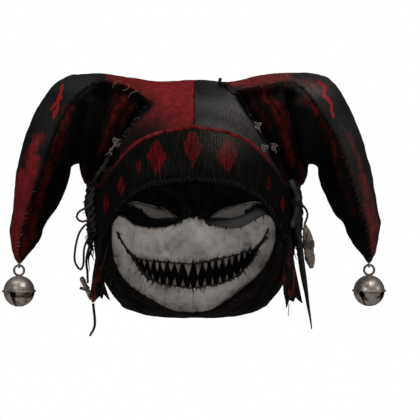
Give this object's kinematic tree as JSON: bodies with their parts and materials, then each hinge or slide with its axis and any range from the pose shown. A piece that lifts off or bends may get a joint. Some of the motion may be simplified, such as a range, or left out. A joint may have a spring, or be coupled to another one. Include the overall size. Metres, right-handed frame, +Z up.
{
  "type": "jester mask",
  "caption": "Full-head jester mask: two curved hanging horns with bells, knit headband, pale grinning face plate, torn strips and laces at the ears.",
  "frame": {"origin": "the point inside the top of the hood where the crown of the wearer's head sits", "axes": "the face looks along -Y, +X is the viewer's right (the wearer's left), +Z up; the two horns reach out along X"},
  "size_m": [0.4224, 0.2283, 0.2851],
  "materials": {
    "red_cloth": "worn, brushed",
    "black_cloth": "worn, with a soft sheen",
    "black_knit": "ribbed knit",
    "hood_cloth": "brushed, dark grey",
    "face_white": "painted, cracked and stained",
    "eye_gloss": "glossy black",
    "eye_mesh": "pale, grainy",
    "tooth": "pale tan",
    "old_metal": "aged, stained",
    "cord": "dirty twisted cord",
    "leather": "worn",
    "bone": "weathered bone and wood"
  },
  "bodies": {
    "mask": {"hood": "hood_cloth", "face_plate": "face_white", "mouth_panel": "eye_gloss", "upper_teeth": "tooth", "lower_teeth": "tooth", "eye_socket_left": "eye_gloss", "eye_screen_left": "eye_mesh", "eye_socket_right": "eye_gloss", "eye_screen_right": "eye_mesh", "brow_panel": "black_knit", "knit_band": "black_knit", "band_roll": "black_knit", "piping": "red_cloth", "ear_knot_left": "black_cloth", "ear_knot_right": "black_cloth", "lace_left": "cord", "lace_right": "cord", "lace_end": "black_cloth", "tatter_left": "red_cloth", "tatter_right": "red_cloth", "strap_right": "leather", "loop_left": "cord", "small_loop_left": "cord", "thong_left": "cord", "tail_left": "cord", "loop_right": "cord", "charm_left": "bone", "charm_right": "bone", "bell_loop_left": "old_metal", "bell_loop_right": "old_metal", "crown_left": "red_cloth", "crown_right": "black_cloth", "horn_left": "red_cloth", "horn_right": "black_cloth"},
    "left_bell": {"bell_left": "old_metal"},
    "right_bell": {"bell_right": "old_metal"}
  },
  "joints": [
    {"name": "bell_left_swing", "type": "hinge", "parent": "mask", "child": "left_bell", "pos_m": [-0.193, 0, -0.19745], "axis": [1, 0, 0], "range_deg": [-60, 60]},
    {"name": "bell_right_swing", "type": "hinge", "parent": "mask", "child": "right_bell", "pos_m": [0.192, 0, -0.19695], "axis": [1, 0, 0], "range_deg": [-60, 60]}
  ]
}
